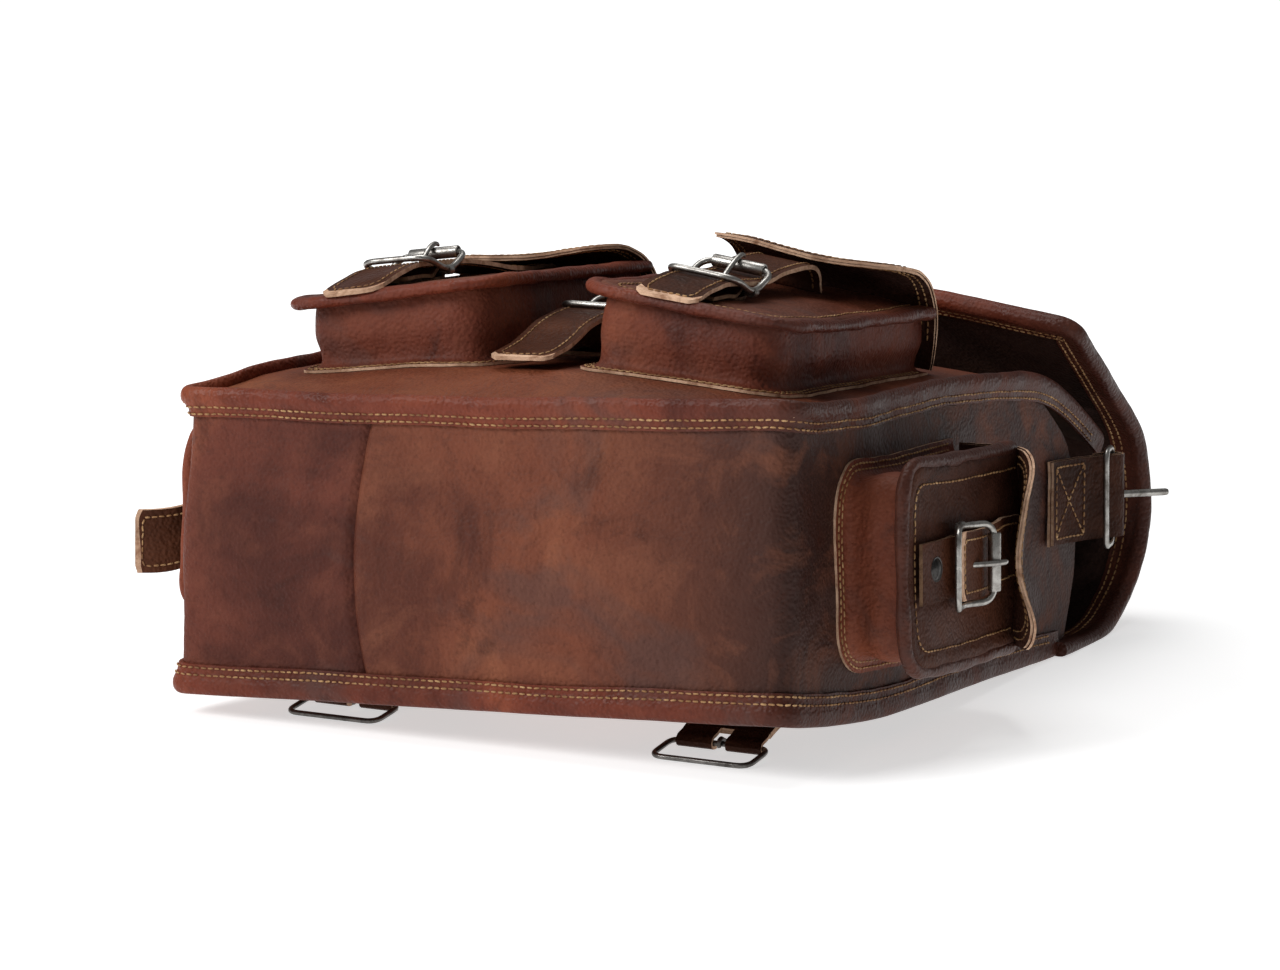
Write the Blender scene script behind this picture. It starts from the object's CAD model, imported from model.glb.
import math

import bmesh
import bpy
import numpy as np
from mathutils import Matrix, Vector


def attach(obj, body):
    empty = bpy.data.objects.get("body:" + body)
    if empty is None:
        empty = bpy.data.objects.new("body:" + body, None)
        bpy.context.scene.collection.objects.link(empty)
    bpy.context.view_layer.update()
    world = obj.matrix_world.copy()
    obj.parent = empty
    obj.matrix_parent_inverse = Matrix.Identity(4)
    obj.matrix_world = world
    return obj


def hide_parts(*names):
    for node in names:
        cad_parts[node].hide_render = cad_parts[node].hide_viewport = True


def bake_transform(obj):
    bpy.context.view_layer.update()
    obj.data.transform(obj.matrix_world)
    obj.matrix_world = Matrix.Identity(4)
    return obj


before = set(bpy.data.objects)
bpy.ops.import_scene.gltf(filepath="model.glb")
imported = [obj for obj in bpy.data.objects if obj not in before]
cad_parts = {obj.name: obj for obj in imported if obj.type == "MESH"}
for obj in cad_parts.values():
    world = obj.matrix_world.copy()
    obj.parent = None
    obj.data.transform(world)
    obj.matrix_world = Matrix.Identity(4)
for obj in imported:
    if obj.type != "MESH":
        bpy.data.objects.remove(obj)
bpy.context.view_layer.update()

# ---------- the bag's own frame: millimetres, back panel on z = 0, base at y = 0 ----------

TILT = math.radians(3.5)          # the base end is propped up by the lower tabs
BODY_L = 300.0
RISE = BODY_L * math.sin(TILT)
MIDDLE_Y = 198.6                  # from the base to the middle of the whole bag
BACK_X, FRONT_X = 144.0, 139.0    # outside of the gusset at the back and at the front
BASE_Y = 4.0
SIDE_BOTTOM, SIDE_TOP = 2.6, 124.0
EDGE_Z, CROWN = 127.0, 18.0
ARCH_R = (FRONT_X ** 2 + CROWN ** 2) / (2 * CROWN)
ARCH_Z = EDGE_Z + CROWN - ARCH_R
LEAN = math.atan((BACK_X - FRONT_X) / (SIDE_TOP - SIDE_BOTTOM))
LEATHER = 2.4
LIP_R = 4.3                       # rolled edge of the bindings
CORNER = 8.0                      # radius of the gusset's turn from base to side
SEAM_X = -51.0                    # cross seam of the gusset

FRONT_POCKET = {"half": 46.0, "length": 158.0, "depth": 32.0, "corner": 17.0, "bar": 46.0}
SIDE_POCKET = {"half": 42.5, "length": 124.0, "depth": 31.0, "corner": 17.0, "bar": 45.0}
FRONT_POCKET_X, FRONT_POCKET_Y = 74.0, 38.0
POCKET_SHIFT = 7.0                # drawn this much nearer to the middle than the CAD's front pockets
OFF_CENTRE = {1: -7.5, -1: -12.0}   # right and left front strap, off the middle of their flaps
SIDE_POCKET_Y, SIDE_POCKET_Z = 46.0, 66.0
BAR_LIFT = LEATHER + 3.4          # centre bar of a pocket buckle above the pocket's depth
CENTRE_BAR = (112.0, EDGE_Z + CROWN + 15.0)
STRAP_HALF = 14.5
FRAME_HALF = 16.75
NEAR_LOOP, NEAR_LIFT = 19.0, 7.35   # from a buckle's centre bar to its near wire
FAR_LOOP, FAR_LIFT = 18.0, 8.5    # and to the wire that carries the roller
FRAME_WIRE, BAR_WIRE, BEAD = 1.45, 1.25, 2.0   # radii of a buckle's wires
ROLLER_R, ROLLER_BORE = 2.8, 1.85
TAB_HALF = 20.0
SIDE_TAB_BAR = (336.0, 13.0)
SIDE_TAB_Z = 72.0
LOWER_TAB_X, LOWER_TAB_Y = 90.0, 47.0
TAB_LOOP = 22.0
SIDE_LOOP, SIDE_PRONG = 166, 43    # the angles of the side tabs' frames and prongs
WIRE_SIDES = 14

PITCH = 3.4                       # from one stitch to the next
BINDING_ROWS = ((4.2, 2.5), (7.3, 1.9))   # along the tail of a body binding, and out of the gusset
FLAP_ROWS = (6.0, 9.4)            # in from the edge of the main flap
FLANGE_ROWS = (3.4, 6.0)          # out from the wall of a pocket
FACE_ROW = 8.2                    # in from the edge of a pocket's face
POCKET_FLAP_ROWS = (4.0, 7.2)     # in from the edge of a pocket's flap
STRAP_ROW = 3.4                   # in from the edge of a strap

LEAN_REACH = 110.0                # the bag leans and spreads over this length, from its base
TWIST, FLARE, SIDEWAYS = 0.058, 0.036, -4.1
LEFT_SPREAD = 0.075
HARD_REACH = 1100.0               # metal keeps the leather round it still; millimetres squared
PRESSED = 0.0016                  # the height, in metres, into which leather flattens on the floor

rng = np.random.default_rng(11)


def waves_of(count, shortest, longest):
    """Random waves in space: the way they travel, the way they push and their phase."""
    return [(rng.normal(size=3) * 2 * math.pi / rng.uniform(shortest, longest), rng.normal(size=3),
             rng.uniform(0, 6.28)) for _ in range(count)]


WAVES = waves_of(10, 70, 170)
TREMBLE = waves_of(8, 16, 34)


def wander(p):
    """The slow unevenness of hand-cut leather, under about 2 mm."""
    out = np.zeros_like(p)
    for size, waves in ((0.26, WAVES), (0.045, TREMBLE)):
        for wave, direction, phase in waves:
            out += size * np.sin(p @ wave + phase)[:, None] * direction
    return out


def lie(p):
    """Bag frame in millimetres to the row frame in metres."""
    c, s = math.cos(TILT), math.sin(TILT)
    x, y, z = p[:, 0], p[:, 1], p[:, 2]
    return stacked(x, y * c + z * s - MIDDLE_Y, z * c - y * s + RISE) * 0.001


def flat(points):
    return np.asarray(points, float).reshape(-1, 3)


def stacked(*parts):
    """Points from their coordinates."""
    return np.stack(np.broadcast_arrays(*parts), -1)


def unit(v):
    return v / np.maximum(np.linalg.norm(v, axis=-1, keepdims=True), 1e-12)


def tangents(line):
    return unit(np.gradient(line, axis=0))


def sampled(at, s, p):
    """The points of a line at some lengths along it."""
    return np.stack([np.interp(at, s, p[:, k]) for k in range(p.shape[1])], 1)


def ease(p):
    """How far the leather has moved: its unevenness, and the twist and spread of a leaning bag."""
    grip = np.clip(1 - p[:, 1] / LEAN_REACH, 0, None) ** 2
    loose = wander(p) * np.clip((p[:, 2:3] + 6) / 20, 0.15, 1)
    for centre in HARDWARE:
        loose *= 1 - np.exp(-np.sum((p - centre) ** 2, 1, keepdims=True) / HARD_REACH)
    spread = grip * (FLARE * p[:, 0] * np.clip(p[:, 2] / 133, 0, 1) + SIDEWAYS)
    spread += LEFT_SPREAD * grip ** 1.5 * np.minimum(p[:, 0], 0)
    return loose + stacked(spread, 0.0, TWIST * grip * p[:, 0])


def soft(points):
    """The leather where it has settled; what would go into the floor flattens on it."""
    p = flat(points)
    q = lie(p + ease(p))
    low = PRESSED * np.exp(np.minimum(q[:, 2] / PRESSED - 1, 0))
    q[:, 2] = np.where(q[:, 2] < PRESSED, low, q[:, 2])
    return q.reshape(np.shape(points))


def firm(points):
    """The bag as it would lie without any unevenness."""
    return lie(flat(points)).reshape(np.shape(points))


def laid(points, place, settle=soft):
    """Points in the frame of a place, set down in the row frame."""
    points = np.asarray(points, float)
    return settle(place(flat(points))).reshape(points.shape)


def carried(centre):
    """Moves metal as one stiff piece with the leather at the centre point."""
    shift = ease(flat(centre))
    return lambda points: lie(flat(points) + shift).reshape(np.shape(points))


def level(points):
    """For what stands on the floor: the frame's own axes, in millimetres."""
    return np.asarray(points, float) * 0.001


# ---------- curves ----------

def lengths(p):
    return np.concatenate([[0], np.cumsum(np.linalg.norm(np.diff(p, axis=0), axis=1))])


def resample(p, step):
    s = lengths(p)
    return sampled(np.linspace(0, s[-1], max(3, int(round(s[-1] / step)) + 1)), s, p)


def spline(points, step=1.0):
    """A smooth line through the points, resampled evenly."""
    p = np.asarray(points, float)
    q = np.vstack([2 * p[0] - p[1], p, 2 * p[-1] - p[-2]])
    t = np.linspace(0, 1, 20, endpoint=False)[:, None]
    parts = []
    for a, b, c, d in zip(q, q[1:], q[2:], q[3:]):
        parts.append(0.5 * (2 * b + (c - a) * t + (2 * a - 5 * b + 4 * c - d) * t ** 2
                            + (3 * b - a - 3 * c + d) * t ** 3))
    return resample(np.vstack(parts + [p[-1:]]), step)


def through(points):
    """A smooth function through (x, y) points."""
    line = spline(points, 1.0)
    order = np.argsort(line[:, 0])
    return lambda x: np.interp(x, line[order, 0], line[order, 1])


def step_up(x, low, high):
    t = np.clip((x - low) / (high - low), 0, 1)
    return t * t * (3 - 2 * t)


def rounded(points, radius, closed=False, n=6):
    """A polyline in space whose corners are bent to a radius, as wire is."""
    p = [np.asarray(q, float) for q in points]
    count = len(p)
    out = []
    for i, q in enumerate(p):
        if not closed and i in (0, count - 1):
            out.append(q)
            continue
        a, b = p[i - 1] - q, p[(i + 1) % count] - q
        cut = min(radius, 0.49 * np.linalg.norm(a), 0.49 * np.linalg.norm(b))
        start, end = q + a / np.linalg.norm(a) * cut, q + b / np.linalg.norm(b) * cut
        for t in np.linspace(0, 1, n):
            out.append((1 - t) ** 2 * start + 2 * t * (1 - t) * q + t * t * end)
    return np.array(out)


front_edge = through([(-5, 130), (20, 130), (60, 132.5), (144, 135.5), (226, 134.5), (272, 130), (305, 120),
                      (341, 103), (362, 91)])
shoulder = through([(-5, 130), (2, 130.6), (12, 134.5), (28, 138.6), (45, 139.7), (144, 140), (215, 139.8),
                    (250, 137.5), (290, 130), (330, 112), (362, 96)])
gusset_end = through([(0, 303), (0.12, 311), (0.33, 321), (0.55, 320), (0.78, 309), (0.92, 288), (1, 271)])


def half_width(t):
    return BACK_X + (FRONT_X - BACK_X) * t


def panel_z(x, y):
    """Height of the front panel: its side edges and its shoulder under the pockets fix a parabola."""
    edge = front_edge(y) - 1
    rise = (shoulder(y) - edge) / (1 - (FRONT_POCKET_X / FRONT_X) ** 2)
    return edge + rise * (1 - np.minimum(np.abs(x) / FRONT_X, 1) ** 2)


def side_bulge(y, t):
    return 3.0 * np.sin(math.pi * np.clip(t, 0, 1)) * step_up(y, 8, 70) * (1 - 0.85 * step_up(y, 105, 160))


def side_x(y, z):
    t = (z - SIDE_BOTTOM) / (SIDE_TOP - SIDE_BOTTOM)
    return half_width(t) + side_bulge(y, t)


# ---------- meshes ----------

def grid_normals(grid):
    """Unit normals of a grid of points, rows by columns."""
    return unit(np.cross(np.gradient(grid, axis=0), np.gradient(grid, axis=1)))


def mesh_piece(name, verts, faces, marks, materials, sharp=38):
    mesh = bpy.data.meshes.new(name)
    mesh.from_pydata(np.asarray(verts, float).tolist(), [], [tuple(map(int, f)) for f in faces])
    for m in materials:
        mesh.materials.append(m)
    mesh.polygons.foreach_set("material_index", np.asarray(marks, np.int32))
    mesh.validate()
    mesh.shade_smooth()
    mesh.set_sharp_from_angle(angle=math.radians(sharp))
    obj = bpy.data.objects.new(name, mesh)
    bpy.context.scene.collection.objects.link(obj)
    return obj


class Build:
    """Collects faces of several solids into one piece."""

    def __init__(self):
        self.verts, self.faces, self.marks = [], [], []

    def add(self, verts, faces, marks):
        base = sum(len(v) for v in self.verts)
        self.verts.append(flat(verts))
        self.faces += [tuple(base + i for i in f) for f in faces]
        self.marks += list(marks)

    def slab(self, top, bottom, marks=(0, 1, 2)):
        """A closed solid between two grids: the top, the bottom and the cut edge take the three marks."""
        rows, cols = top.shape[:2]
        count = rows * cols
        quads = [(i * cols + j, i * cols + j + 1, (i + 1) * cols + j + 1, (i + 1) * cols + j)
                 for i in range(rows - 1) for j in range(cols - 1)]
        ring = ([(0, j) for j in range(cols)] + [(i, cols - 1) for i in range(1, rows)]
                + [(rows - 1, j) for j in range(cols - 2, -1, -1)] + [(i, 0) for i in range(rows - 2, 0, -1)])
        ring = [i * cols + j for i, j in ring]
        rim = [(a, a + count, b + count, b) for a, b in zip(ring, ring[1:] + ring[:1])]
        faces = quads + [tuple(count + i for i in reversed(q)) for q in quads] + rim
        self.add(np.concatenate([flat(top), flat(bottom)]), faces,
                 [marks[0]] * len(quads) + [marks[1]] * len(quads) + [marks[2]] * len(rim))

    def loft(self, grid, mark=0, close_rows=False):
        """A tube through rings of points, rings by points, with closed ends."""
        rings, n = grid.shape[:2]
        last = rings if close_rows else rings - 1
        faces = [(i * n + j, i * n + (j + 1) % n, (i + 1) % rings * n + (j + 1) % n, (i + 1) % rings * n + j)
                 for i in range(last) for j in range(n)]
        if not close_rows:
            faces += [tuple(reversed(range(n))), tuple((rings - 1) * n + j for j in range(n))]
        self.add(grid, faces, [mark] * len(faces))

    def piece(self, name, materials, sharp=38):
        obj = mesh_piece(name, np.concatenate(self.verts), self.faces, self.marks, materials, sharp)
        bm = bmesh.new()
        bm.from_mesh(obj.data)
        bmesh.ops.recalc_face_normals(bm, faces=bm.faces)
        bm.to_mesh(obj.data)
        bm.free()
        return obj


def tube_rings(path, radius, sides=12):
    """Rings round a line in space that don't twist."""
    p = np.asarray(path, float)
    t = tangents(p)
    up = np.array([0.0, 0.0, 1.0]) if abs(t[0][2]) < 0.9 else np.array([1.0, 0.0, 0.0])
    n = np.cross(t[0], up)
    rings = []
    r = np.broadcast_to(radius, (len(p),))
    a = np.linspace(0, 2 * math.pi, sides, endpoint=False)
    for i in range(len(p)):
        n = unit(n - t[i] * (n @ t[i]))
        b = np.cross(t[i], n)
        rings.append(p[i] + r[i] * (np.cos(a)[:, None] * n + np.sin(a)[:, None] * b))
    return np.array(rings)


class Thread:
    """Rows of stitches that end up as one piece."""
    RINGS = ((-0.36, 0.8), (0.0, 1.0), (0.36, 0.8))
    SIDES = 6
    WIDTH, LIFT = 0.47, 0.10

    def __init__(self):
        self.build = Build()
        self.draw = np.random.default_rng(5)
        self.shape, self.faces = self.pattern()

    def pattern(self):
        """One stitch: points (along, across, up) with pointed ends, and its faces."""
        k, last = self.SIDES, 1 + self.SIDES * len(self.RINGS)
        a = np.linspace(0, 2 * math.pi, k, endpoint=False)
        shape = [(-0.5, 0.0, 0.0)]
        for along_it, r in self.RINGS:
            shape += [(along_it, r * math.cos(q), r * math.sin(q)) for q in a]
        shape.append((0.5, 0.0, 0.0))
        faces = [(0, 1 + (j + 1) % k, 1 + j) for j in range(k)]
        for base in range(1, last - k, k):
            faces += [(base + j, base + (j + 1) % k, base + k + (j + 1) % k, base + k + j) for j in range(k)]
        faces += [(last, last - k + j, last - k + (j + 1) % k) for j in range(k)]
        return np.array(shape), faces

    def row(self, points, normals, pitch=PITCH):
        """Stitches along a line; points and normals are in the row frame."""
        s = lengths(points) * 1000
        count = int(s[-1] / pitch)
        if count < 1:
            return
        at = (np.arange(count) + 0.5) * s[-1] / count
        centre = sampled(at, s, points)
        ahead = unit(sampled(at + 0.5, s, points) - sampled(at - 0.5, s, points))
        n = sampled(at, s, normals)
        n = unit(n - ahead * np.sum(n * ahead, 1, keepdims=True))
        across = np.cross(n, ahead)
        skew = self.draw.normal(0, 0.08, count)[:, None]
        ahead, across = ahead + across * skew, across - ahead * skew
        size = pitch * 0.84 * self.draw.uniform(0.9, 1.06, count)
        wide = self.WIDTH * self.draw.uniform(0.85, 1.15, count)
        out, side, up = self.shape[:, :1], self.shape[:, 1:2], self.shape[:, 2:]
        for i in range(count):
            form = out * size[i] * ahead[i] + side * wide[i] * across[i] + up * wide[i] * 0.8 * n[i]
            verts = centre[i] + n[i] * self.LIFT * 0.001 + 0.001 * form
            self.build.add(verts, self.faces, [0] * len(self.faces))

    def sew(self, lay, lift, away=1.0, trim=0, pitch=PITCH):
        """A row on a surface: lay gives its points at a lift, and away is the way out of it."""
        on = lay(lift)
        part = slice(trim, len(on) - trim)
        self.row(on[part], (lay(lift + away) - on)[part], pitch)

    def piece(self, name, material):
        return self.build.piece(name, [material], sharp=80)


class Ribbon:
    """A strip of leather: a curve in a plane (v, w), drawn across u, in the frame of its place."""

    def __init__(self, path, place, wave=None, step=1.0, settle=soft):
        self.line = spline(path, step)
        self.s = lengths(self.line)
        self.length = self.s[-1]
        t = tangents(self.line)
        self.normal = np.stack([-t[:, 1], t[:, 0]], 1)
        self.place, self.wave, self.settle = place, wave, settle

    def at(self, u, s, lift):
        u, s, lift = np.broadcast_arrays(np.asarray(u, float), s, lift)
        shape = u.shape + (3,)
        u, s, lift = u.ravel(), s.ravel(), lift.ravel().astype(float)
        if self.wave is not None:
            lift = lift + self.wave(u, s)
        p = sampled(s, self.s, self.line) + lift[:, None] * sampled(s, self.s, self.normal)
        return laid(stacked(u, p[:, 0], p[:, 1]), self.place, self.settle).reshape(shape)

    def sheet(self, build, half, start, end, low, high, cols, marks=(0, 1, 2), step=3.0, taper=0.0):
        """A layer from lift low (outside) to high (inside); start and end are lengths or functions of u."""
        e = np.linspace(-1, 1, cols)
        u = half * (0.45 * e + 0.55 * np.sin(e * math.pi / 2))
        stop, begin = (f(u) if callable(f) else np.full(cols, float(f)) for f in (end, start))
        rows = max(4, int((stop.max() - begin.min()) / step) + 1)
        s = begin + (stop - begin) * np.linspace(0, 1, rows)[:, None]
        thin = 1 - taper * (1 - step_up(s, 0, 14))
        build.slab(self.at(u, s, low * thin), self.at(u, s, high * thin), marks)

    def stitch(self, thread, half, start, end, inset, lift, pitch=PITCH):
        """A row of stitches that follows the outline, inset from it."""
        u = np.linspace(-(half - inset), half - inset, 61)
        stop = end(u * half / (half - inset)) - inset
        side = np.linspace(start, stop[0], 40)[:-1]
        other = np.linspace(stop[-1], start, 40)[1:]
        uu = np.concatenate([np.full(39, u[0]), u, np.full(39, u[-1])])
        self.line_of_stitches(thread, uu, np.concatenate([side, stop, other]), lift, pitch)

    def line_of_stitches(self, thread, u, s, lift, pitch=PITCH):
        thread.sew(lambda w: self.at(u, s, w), lift, 1.0 if lift > 0 else -1.0, pitch=pitch)


def round_end(length, half, radius):
    """The outline of a free end with round corners."""
    def end(u):
        over = np.clip((np.abs(u) - (half - radius)) / radius, 0, 1)
        return length - radius * (1 - np.sqrt(1 - over ** 2))
    return end


def cut_end(length, half, flat_half, cut):
    """The outline of a strap's tip with its two corners cut off."""
    return lambda u: length - cut * np.clip((np.abs(u) - flat_half) / (half - flat_half), 0, 1)


def shell(build, grid, thick, marks=(0, 1, 2), flip=False):
    """A solid of even thickness behind a grid of points in the row frame; thick is in millimetres."""
    n = grid_normals(grid) * (-1 if flip else 1)
    build.slab(grid, grid - n * thick * 0.001, marks)


def outline(half, start, length, corner):
    """The U of a pocket: points and outward directions, from one end of the mouth to the other."""
    line = rounded([(half, length), (half, start), (-half, start), (-half, length)], corner, n=9)
    line = resample(line, 2.0)
    t = tangents(line)
    return line, np.stack([-t[:, 1], t[:, 0]], 1)


# ---------- where things sit ----------

def turned(p, angle, origin):
    c, s = math.cos(angle), math.sin(angle)
    return stacked(p[:, 0] * c + p[:, 2] * s, p[:, 1], -p[:, 0] * s + p[:, 2] * c) + np.array(origin)


def on_front(side, cling=True):
    """A front pocket's frame: u across, v along the bag, w out of the front panel."""
    angle = side * math.asin(FRONT_POCKET_X / ARCH_R)
    origin = (side * FRONT_POCKET_X, FRONT_POCKET_Y, ARCH_Z + math.sqrt(ARCH_R ** 2 - FRONT_POCKET_X ** 2))

    def place(p):
        p = p - np.array([side * POCKET_SHIFT, 0, 0])
        q = turned(p, angle, origin)
        if not cling:
            return q
        foot = turned(p * np.array([1, 1, 0]), angle, origin)
        q[:, 2] += (panel_z(foot[:, 0], foot[:, 1]) - foot[:, 2]) * (1 - step_up(p[:, 2], 2, 26))
        return q
    return place


def on_side(side, y=SIDE_POCKET_Y, z=SIDE_POCKET_Z, cling=True):
    """A frame on the side of the bag: u down, v along the bag, w out of the side."""
    angle = side * (math.pi / 2 - LEAN)
    origin = (side * (BACK_X - (z - SIDE_BOTTOM) * math.tan(LEAN)), y, z)

    def place(p):
        q = turned(p, angle, origin)
        if not cling:
            return q
        foot = turned(p * np.array([1, 1, 0]), angle, origin)
        q[:, 0] += (side * side_x(foot[:, 1], foot[:, 2]) - foot[:, 0]) * (1 - step_up(p[:, 2], 2, 26))
        return q
    return place


def on_middle(p):
    """The centre strap's frame is the bag's own."""
    return p


def on_floor(side):
    return lambda p: p + np.array([side * LOWER_TAB_X, LOWER_TAB_Y - MIDDLE_Y, 4.0])


def hardware_centres():
    """Where the buckles are."""
    centres = [np.array([0.0, 112.0, 160.0])]
    for side in (-1, 1):
        centres += [on_front(side, False)(np.array([[OFF_CENTRE[side], 50.0, 38.0]]))[0],
                    on_side(side, cling=False)(np.array([[0, 48.0, 37.0]]))[0],
                    on_side(side, 0, SIDE_TAB_Z, False)(np.array([[0, 334.0, 14.0]]))[0]]
    return centres


HARDWARE = hardware_centres()


def around(a, z, out):
    """A point on the gusset: a along the U from the middle of the base, z up, out of the leather."""
    a, z, out = np.broadcast_arrays(np.asarray(a, float), z, out)
    shape = a.shape + (3,)
    a, z, out = a.ravel(), z.ravel(), out.ravel()
    t = (z - SIDE_BOTTOM) / (SIDE_TOP - SIDE_BOTTOM)
    straight = half_width(t) - CORNER
    way = np.abs(a)
    phi = np.clip((way - straight) / CORNER, 0, math.pi / 2)
    up = np.clip(way - straight - CORNER * math.pi / 2, 0, None)
    belly = np.sin(math.pi * np.clip(t, 0, 1))
    y_side = BASE_Y + CORNER + up
    base_bulge = belly * (0.8 + 2.4 * (1 - np.minimum(way / straight, 1) ** 2))
    bulge = np.where(up > 0, side_bulge(y_side, t), 0.0)
    bulge += np.where(up > 0, 0.8 * belly, base_bulge) * (1 - step_up(y_side, 20, 60))
    pinch = 1.3 * np.exp(-((way - straight - 8) / 5.0) ** 2) * np.clip(t, 0, 1) ** 2 * (t < 1.02)
    r = CORNER + out + bulge - pinch
    x = np.where(way < straight, way, straight + r * np.sin(phi))
    y = np.where(way < straight, BASE_Y - out - bulge, BASE_Y + CORNER - r * np.cos(phi) + up)
    return soft(stacked(np.sign(a) * x, y, z)).reshape(shape)


def along(y, z=60.0):
    """The gusset's a for a height y on the side of the bag."""
    half = half_width((z - SIDE_BOTTOM) / (SIDE_TOP - SIDE_BOTTOM))
    return half - CORNER + CORNER * math.pi / 2 + y - BASE_Y - CORNER


# ---------- materials ----------

class Nodes:
    """A short hand for a material's node tree."""

    def __init__(self, name):
        self.mat = bpy.data.materials.new(name)
        self.mat.use_nodes = True
        self.tree = self.mat.node_tree
        self.shader = self.tree.nodes["Principled BSDF"]
        self.coords = self.tree.nodes.new("ShaderNodeTexCoord").outputs["Object"]

    def node(self, kind, settings=None, **values):
        n = self.tree.nodes.new(kind)
        for key, value in (settings or {}).items():
            setattr(n, key, value)
        for key, value in values.items():
            self.put(n.inputs[key.replace("_", " ")], value)
        return n

    def put(self, socket, value):
        if isinstance(value, bpy.types.NodeSocket):
            self.tree.links.new(value, socket)
        else:
            socket.default_value = (*value, 1) if isinstance(value, tuple) else value

    def noise(self, scale, detail=4.0, rough=0.55, warp=0.0):
        return self.node("ShaderNodeTexNoise", Vector=self.coords, Scale=scale, Detail=detail,
                         Roughness=rough, Distortion=warp).outputs["Fac"]

    def cells(self, scale):
        return self.node("ShaderNodeTexVoronoi", {"feature": "SMOOTH_F1"}, Vector=self.coords,
                         Scale=scale).outputs["Distance"]

    def ramp(self, value, *stops, smooth=False):
        n = self.node("ShaderNodeValToRGB", Fac=value)
        if smooth:
            n.color_ramp.interpolation = "EASE"
        while len(n.color_ramp.elements) < len(stops):
            n.color_ramp.elements.new(0.5)
        for element, (at, colour) in zip(n.color_ramp.elements, stops):
            element.position = at
            element.color = (*colour, 1)
        return n.outputs["Color"]

    def level(self, value, low, high, to_low=0.0, to_high=1.0):
        n = self.node("ShaderNodeMapRange", Value=value)
        for key, v in (("From Min", low), ("From Max", high), ("To Min", to_low), ("To Max", to_high)):
            n.inputs[key].default_value = v
        return n.outputs["Result"]

    def maths(self, kind, a, b=0.5):
        n = self.node("ShaderNodeMath", {"operation": kind})
        self.put(n.inputs[0], a)
        self.put(n.inputs[1], b)
        return n.outputs[0]

    def mix(self, factor, a, b):
        n = self.node("ShaderNodeMix", {"data_type": "RGBA"})
        for socket, value in ((0, factor), (6, a), (7, b)):
            self.put(n.inputs[socket], value)
        return n.outputs[2]

    def bump(self, height, strength, distance, below=None):
        n = self.node("ShaderNodeBump", Height=height, Strength=strength, Distance=distance)
        if below is not None:
            self.put(n.inputs["Normal"], below)
        return n.outputs["Normal"]

    def finish(self, colour, rough, normal=None, metallic=None, coat=0.0, specular=0.5):
        self.put(self.shader.inputs["Base Color"], colour)
        self.put(self.shader.inputs["Roughness"], rough)
        if normal is not None:
            self.put(self.shader.inputs["Normal"], normal)
        if metallic is not None:
            self.put(self.shader.inputs["Metallic"], metallic)
        self.shader.inputs["Coat Weight"].default_value = coat
        self.shader.inputs["Coat Roughness"].default_value = 0.35
        self.shader.inputs["Specular IOR Level"].default_value = specular
        return self.mat


def leather(name, deep, body, light, patina=0.5, rough=0.54, creases=0.5, shade=None, gloss=0.13):
    """Oiled full-grain leather: cloudy colour, rubbed patches, pebbled grain and fine creases."""
    n = Nodes(name)
    clouds = n.noise(9, 5, 0.6, 0.6)
    blotches = n.noise(26, 6, 0.65, 0.9)
    specks = n.noise(330, 3, 0.6)
    colour = n.ramp(clouds, (0.36, deep), (0.52, body), (0.68, light), smooth=True)
    if shade:
        x = n.node("ShaderNodeSeparateXYZ", Vector=n.coords).outputs["X"]
        x = n.maths("ADD", x, n.level(clouds, 0.3, 0.7, -0.02, 0.02))
        colour = n.mix(n.level(x, shade[0], shade[1], 0.0, 0.85), colour, shade[2])
    rubbed = tuple(0.8 * c + 0.2 * g for c, g in zip(light, (0.15, 0.080, 0.060)))
    colour = n.mix(n.level(blotches, 0.50, 0.68, 0.0, patina), colour, rubbed)
    smoke = n.noise(13, 4, 0.6, 0.9)
    colour = n.mix(n.level(smoke, 0.54, 0.66, 0.0, 0.55), colour, (0.075, 0.040, 0.034))
    colour = n.mix(n.level(blotches, 0.44, 0.30, 0.0, 0.62), colour, tuple(0.5 * c for c in deep))
    colour = n.mix(n.level(specks, 0.56, 0.72, 0.0, 0.26), colour, tuple(0.45 * c for c in deep))
    pebbles = n.cells(620)
    fine = n.noise(900, 2, 0.5)
    crease = n.noise(48, 6, 0.7, 2.2)
    lines = n.maths("ABSOLUTE", n.maths("SUBTRACT", crease, 0.5))
    lines = n.level(lines, 0.0, 0.05, 0.0, 1.0)
    colour = n.mix(n.level(lines, 0.0, 0.6, 0.3 * creases, 0.0), colour, tuple(0.4 * c for c in deep))
    normal = n.bump(lines, 0.26 * creases, 0.0007)
    normal = n.bump(n.noise(70, 3, 0.5), 0.28, 0.0016, normal)
    normal = n.bump(pebbles, 0.75, 0.0008, normal)
    normal = n.bump(fine, 0.22, 0.0002, normal)
    roughness = n.level(blotches, 0.3, 0.7, rough - 0.12, rough + 0.16)
    return n.finish(colour, roughness, normal, coat=gloss * 0.15, specular=gloss)


def raw_edge(name, deep, light):
    """The cut edge of leather: fibres in layers."""
    n = Nodes(name)
    fibres = n.noise(160, 6, 0.7, 0.4)
    colour = n.ramp(fibres, (0.34, deep), (0.56, light))
    colour = n.mix(n.level(n.noise(22, 3), 0.5, 0.68, 0, 0.65), colour, tuple(0.5 * c for c in deep))
    normal = n.bump(n.noise(700, 4, 0.7), 0.5, 0.0005)
    return n.finish(colour, 0.82, normal, specular=0.2)


def flesh_side(name, deep, light):
    """The nappy inside of the leather."""
    n = Nodes(name)
    colour = n.ramp(n.noise(60, 6, 0.7, 0.5), (0.35, deep), (0.65, light))
    normal = n.bump(n.noise(800, 5, 0.75), 0.6, 0.0005)
    return n.finish(colour, 0.85, normal, specular=0.2)


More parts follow.
